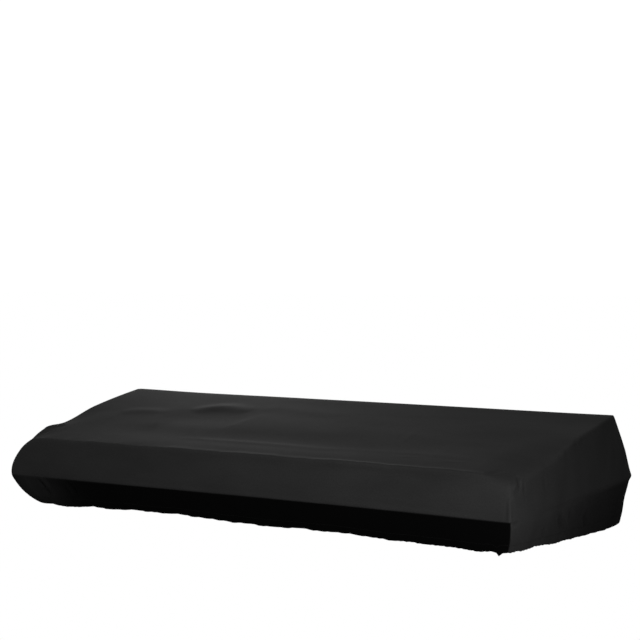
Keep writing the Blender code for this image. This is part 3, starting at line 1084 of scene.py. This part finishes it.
class PianoCoverFinish(bpy.types.PropertyGroup):
    """Finish of the cloth that a user can change"""

    deep_dye: FloatVectorProperty(
        name="Deep dye",
        description="Dye where the nap lies down",
        default=linear(DEEP_DYE),
        size=4,
        min=0.0,
        max=1.0,
        subtype="COLOR",
    )
    pale_dye: FloatVectorProperty(
        name="Pale dye",
        description="Dye where the nap stands up",
        default=linear(PALE_DYE),
        size=4,
        min=0.0,
        max=1.0,
        subtype="COLOR",
    )
    # Near-black dye of the painted shade below the creases, also of the thread's dark strands
    painted_shade_and_strand_dye: FloatVectorProperty(
        name="Slack dye",
        description="Dye where the cloth isn't stretched",
        default=linear(PAINTED_SHADE_AND_STRAND_DYE),
        size=4,
        min=0.0,
        max=1.0,
        subtype="COLOR",
    )
    thread_dye: FloatVectorProperty(
        name="Thread dye",
        description="Dye of the hem's thread",
        default=linear(THREAD_DYE),
        size=4,
        min=0.0,
        max=1.0,
        subtype="COLOR",
    )
    sheen: FloatProperty(
        name="Nap sheen",
        description="How much the nap lightens edge on",
        default=SHEEN,
        min=0.0,
        max=1.0,
        subtype="FACTOR",
    )


class PianoCoverStudio(bpy.types.PropertyGroup):
    """Lights and floor that a user can change"""

    overhead: FloatProperty(
        name="Overhead light",
        description="Power of the overhead light",
        default=OVERHEAD_POWER,
        min=0.0,
        unit="POWER",
    )
    corner: FloatProperty(
        name="Corner light",
        description="Power of the light by the near corner",
        default=CORNER_POWER,
        min=0.0,
        unit="POWER",
    )
    far: FloatProperty(
        name="Far light",
        description="Power of the light behind the far end",
        default=FAR_POWER,
        min=0.0,
        unit="POWER",
    )
    room_light: FloatProperty(
        name="Room light",
        description="Strength of the dim light from all round",
        default=ROOM_LIGHT,
        min=0.0,
    )
    floor_glow: FloatProperty(
        name="Floor glow",
        description="Light that the paper gives of itself",
        default=FLOOR_GLOW,
        min=0.0,
    )


class PIANOCOVER_OT_cloth(bpy.types.Operator):
    """Make the stretch cloth of the cover"""

    bl_idname = "piano_cover.cloth"
    bl_label = "Make Cloth"

    def execute(self, context):
        cloth = make_cloth()
        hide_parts("cover_cloth")
        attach(cloth, "root")
        return {"FINISHED"}


class PIANOCOVER_OT_hem_stitches(bpy.types.Operator):
    """Sew the row of stitches round the hem"""

    bl_idname = "piano_cover.hem_stitches"
    bl_label = "Sew Hem"

    def execute(self, context):
        stitches = make_hem_stitches()
        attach(stitches, "root")
        return {"FINISHED"}


class PIANOCOVER_OT_studio(bpy.types.Operator):
    """Set up the floor, the lights and the camera"""

    bl_idname = "piano_cover.studio"
    bl_label = "Set Up Studio"

    def execute(self, context):
        studio = cover_studio()
        make_floor()
        make_backdrop_light()
        soft_box("overhead_light", *OVERHEAD_LIGHT, studio.overhead)
        soft_box("corner_light", *CORNER_LIGHT, studio.corner)
        soft_box("far_light", *FAR_LIGHT, studio.far)
        make_camera()
        context.scene.view_settings.view_transform = "Standard"
        return {"FINISHED"}


class PIANOCOVER_PT_panel(bpy.types.Panel):
    """Sizes, finish and studio of the piano cover"""

    bl_label = "Piano Cover"
    bl_idname = "PIANOCOVER_PT_panel"
    bl_space_type = "VIEW_3D"
    bl_region_type = "UI"
    bl_category = "Piano Cover"

    def draw(self, context):
        layout = self.layout
        scene = context.scene
        for group in (scene.piano_cover_sizes, scene.piano_cover_finish, scene.piano_cover_studio):
            for name in group.__annotations__:
                layout.prop(group, name)
        for operator in OPERATORS:
            layout.operator(operator.bl_idname)


OPERATORS = (PIANOCOVER_OT_cloth, PIANOCOVER_OT_hem_stitches, PIANOCOVER_OT_studio)
CLASSES = (
    PianoCoverSizes,
    PianoCoverFinish,
    PianoCoverStudio,
    *OPERATORS,
    PIANOCOVER_PT_panel,
)


def register():
    """Registers the classes and gives each scene its settings."""
    for kind in CLASSES:
        bpy.utils.register_class(kind)
    bpy.types.Scene.piano_cover_sizes = PointerProperty(type=PianoCoverSizes)
    bpy.types.Scene.piano_cover_finish = PointerProperty(type=PianoCoverFinish)
    bpy.types.Scene.piano_cover_studio = PointerProperty(type=PianoCoverStudio)


def unregister():
    """Takes the settings and the classes away again."""
    del bpy.types.Scene.piano_cover_studio
    del bpy.types.Scene.piano_cover_finish
    del bpy.types.Scene.piano_cover_sizes
    for kind in reversed(CLASSES):
        bpy.utils.unregister_class(kind)


def main():
    """Makes the whole scene, step by step."""
    register()
    bpy.ops.piano_cover.cloth()
    bpy.ops.piano_cover.hem_stitches()
    bpy.ops.piano_cover.studio()


if __name__ == "__main__":
    main()
